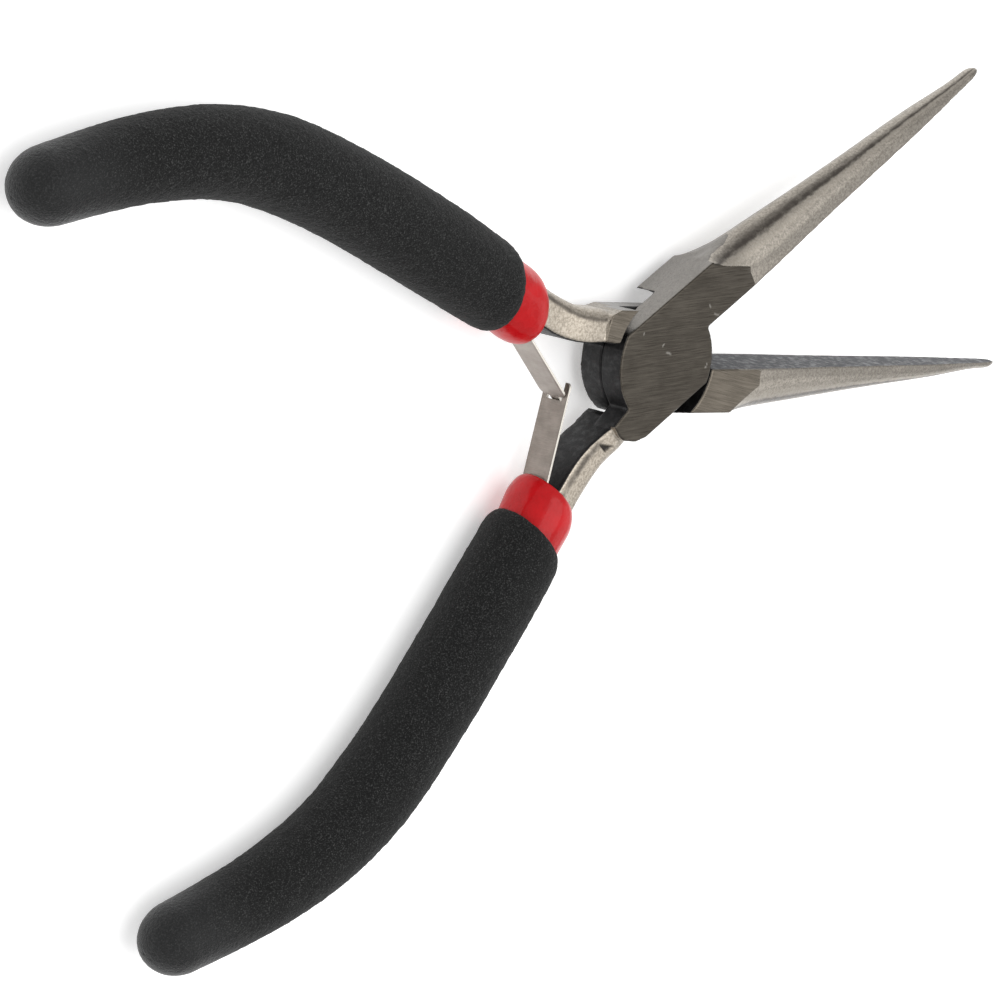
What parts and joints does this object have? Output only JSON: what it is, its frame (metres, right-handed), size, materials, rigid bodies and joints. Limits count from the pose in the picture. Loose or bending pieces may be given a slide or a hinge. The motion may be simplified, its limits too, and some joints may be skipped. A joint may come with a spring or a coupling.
{
  "type": "long nose jewellery pliers",
  "caption": "Lap-joint jewellery pliers with long tapered jaws, dipped sleeves, soft foam grips and a double leaf spring that opens them.",
  "frame": {"origin": "where the pivot axis meets the underside of the head", "axes": "+X along the bisector of the open jaws towards their tips, +Z along the pivot axis, +Y to the side of the left handle"},
  "size_m": [0.1523, 0.0986, 0.0112],
  "materials": {
    "forged_steel": "ground flats, satin jaws, black oxide in the recesses",
    "rivet_steel": "ground flush",
    "spring_steel": "satin nickel",
    "red_pvc": "glossy dipped vinyl",
    "black_foam": "matte fine-pored foam"
  },
  "bodies": {
    "right_handle": {"right_half": "forged_steel", "pivot_rivet": "rivet_steel", "right_sleeve": "red_pvc", "right_foam_grip": "black_foam", "right_leaf_base": "spring_steel", "right_leaf_rivet": "rivet_steel"},
    "left_handle": {"left_half": "forged_steel", "left_sleeve": "red_pvc", "left_foam_grip": "black_foam", "left_leaf_base": "spring_steel", "left_leaf_rivet": "rivet_steel"},
    "right_leaf": {"right_spring_leaf": "spring_steel"},
    "left_leaf": {"left_spring_leaf": "spring_steel"}
  },
  "joints": [
    {"name": "pivot", "type": "hinge", "parent": "right_handle", "child": "left_handle", "pos_m": [0, 0, 0.0036], "axis": [0, 0, 1], "range_deg": [0, 35.2], "stiffness_Nm_per_rad": 0.4, "springref_deg": -8.59},
    {"name": "right_leaf_bend", "type": "hinge", "parent": "right_handle", "child": "right_leaf", "pos_m": [-0.02034, -0.00897, 0.0036], "axis": [0, 0, 1], "range_deg": [-32.5, 0.5]},
    {"name": "left_leaf_bend", "type": "hinge", "parent": "left_handle", "child": "left_leaf", "pos_m": [-0.02034, 0.00897, 0.0036], "axis": [0, 0, 1], "range_deg": [-0.5, 32.5]}
  ],
  "couplings": [
    {"joint": "right_leaf_bend", "follows": "pivot", "ratio": -0.908},
    {"joint": "left_leaf_bend", "follows": "pivot", "ratio": 0.908}
  ]
}
